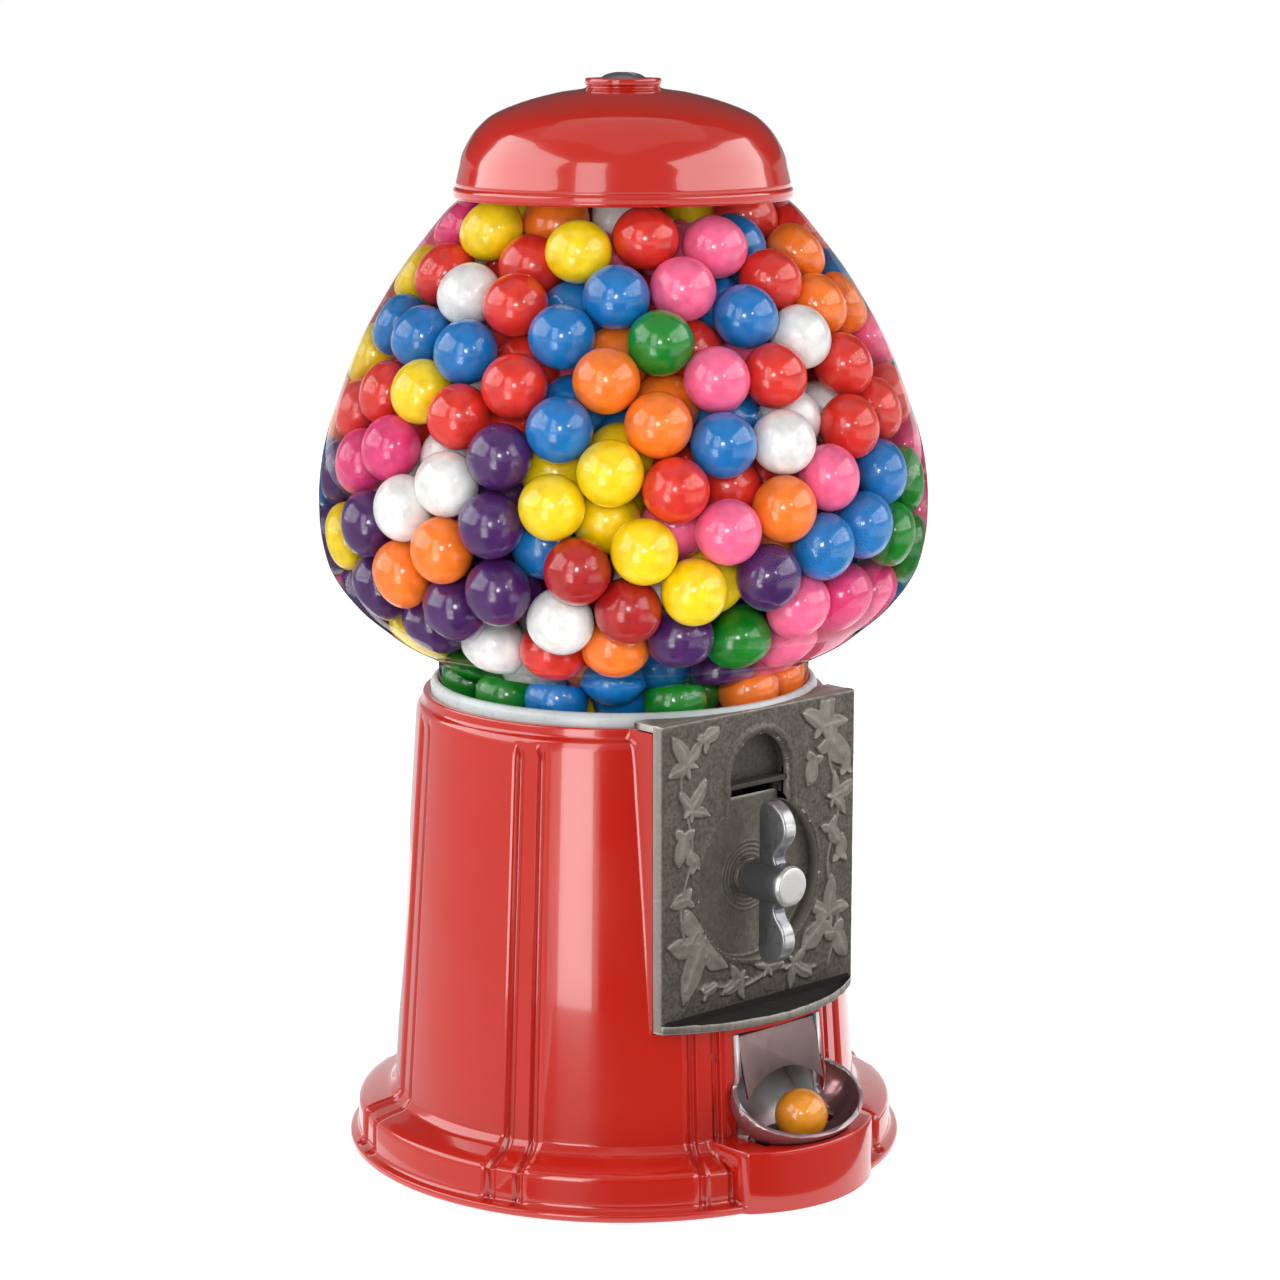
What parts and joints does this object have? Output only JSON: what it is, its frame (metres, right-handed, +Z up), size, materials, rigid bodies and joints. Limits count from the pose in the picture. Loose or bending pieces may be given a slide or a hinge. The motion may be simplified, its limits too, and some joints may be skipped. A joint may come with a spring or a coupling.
{
  "type": "gumball machine",
  "caption": "Coin-operated tabletop gumball machine: glass globe on a fluted cast base, with a thumb-turn coin plate, ball wheel, chute flap and scoop.",
  "frame": {"origin": "on the floor under the middle of the base", "axes": "+Z up; the coin plate and chute face -Y; +X is to the right of someone facing the plate"},
  "size_m": [0.214, 0.214, 0.381],
  "materials": {
    "red_enamel": "gloss stove enamel",
    "pewter": "antiqued die-cast relief, dark in the hollows",
    "zinc": "die-cast zinc, worn bright on its edges",
    "steel": "plated steel",
    "chrome": "polished plate",
    "brass": "turned brass",
    "rubber": "matt black rubber",
    "seal": "soft white plastic",
    "glass": "clear blown glass",
    "nylon": "moulded natural nylon",
    "gumballs": "glossy sugar shell in ten colours",
    "gumball_yellow": "glossy sugar shell"
  },
  "bodies": {
    "base": {"body_shell": "red_enamel", "bottom_plate": "steel", "globe_seal": "seal", "globe": "glass", "lid_seal": "seal", "centre_rod": "steel", "rod_washer": "steel", "rod_nut": "steel", "wheel_housing": "zinc", "wheel_bushing": "brass", "outlet_cover": "steel", "gumball_fill": "gumballs", "face_plate": "pewter", "pawl_pin": "steel", "pawl_spring": "steel", "mech_plate": "steel", "coin_guide": "steel", "chute": "chrome", "flap_pin": "steel", "plate_screw_1": "steel", "mech_post_1": "steel", "base_screw_1": "steel", "foot_1": "rubber", "plate_screw_2": "steel", "mech_post_2": "steel", "base_screw_2": "steel", "foot_2": "rubber", "plate_screw_3": "steel", "mech_post_3": "steel", "base_screw_3": "steel", "foot_3": "rubber", "plate_screw_4": "steel", "mech_post_4": "steel", "base_screw_4": "steel", "foot_4": "rubber", "chute_screw_1": "steel", "chute_screw_2": "steel"},
    "knob_drive": {"knob": "zinc", "knob_shaft": "steel", "coin_wheel": "zinc", "ratchet_wheel": "steel", "shaft_collar": "brass", "drive_pinion": "zinc"},
    "ball_wheel": {"gumball_wheel": "nylon"},
    "pawl": {"ratchet_pawl": "steel"},
    "flap": {"chute_flap": "chrome"},
    "lid": {"lid": "red_enamel"},
    "lid_nut": {"lid_nut": "zinc"},
    "coin_plug": {"coin_plug": "rubber"},
    "gumball": {"vended_gumball": "gumball_yellow"}
  },
  "joints": [
    {"name": "knob_turn", "type": "hinge", "parent": "base", "child": "knob_drive", "pos_m": [0, -0.075, 0.108], "axis": [0, 1, 0], "continuous": true},
    {"name": "wheel_turn", "type": "hinge", "parent": "base", "child": "ball_wheel", "pos_m": [0, 0, 0.125], "axis": [0, 0, 1], "continuous": true},
    {"name": "pawl_swing", "type": "hinge", "parent": "base", "child": "pawl", "pos_m": [0.024, -0.0563, 0.118], "axis": [0, 1, 0], "range_deg": [0, 25], "stiffness_Nm_per_rad": 0.005, "springref_deg": -17.19},
    {"name": "flap_swing", "type": "hinge", "parent": "base", "child": "flap", "pos_m": [0, -0.0762, 0.0556], "axis": [-1, 0, 0], "range_deg": [0, 60]},
    {"name": "lid_lift", "type": "slide", "parent": "base", "child": "lid", "axis": [0, 0, 1], "range_m": [0, 0.1]},
    {"name": "lid_nut_turn", "type": "hinge", "parent": "lid", "child": "lid_nut", "pos_m": [0, 0, 0.377], "axis": [0, 0, 1], "continuous": true},
    {"name": "coin_plug_pull", "type": "slide", "parent": "base", "child": "coin_plug", "axis": [0, 0, -1], "range_m": [0, 0.02]},
    {"name": "gumball_take", "type": "slide", "parent": "base", "child": "gumball", "axis": [0, -0.7071, 0.7071], "range_m": [0, 0.06]}
  ],
  "couplings": [
    {"joint": "wheel_turn", "follows": "knob_turn", "ratio": 0.2}
  ]
}
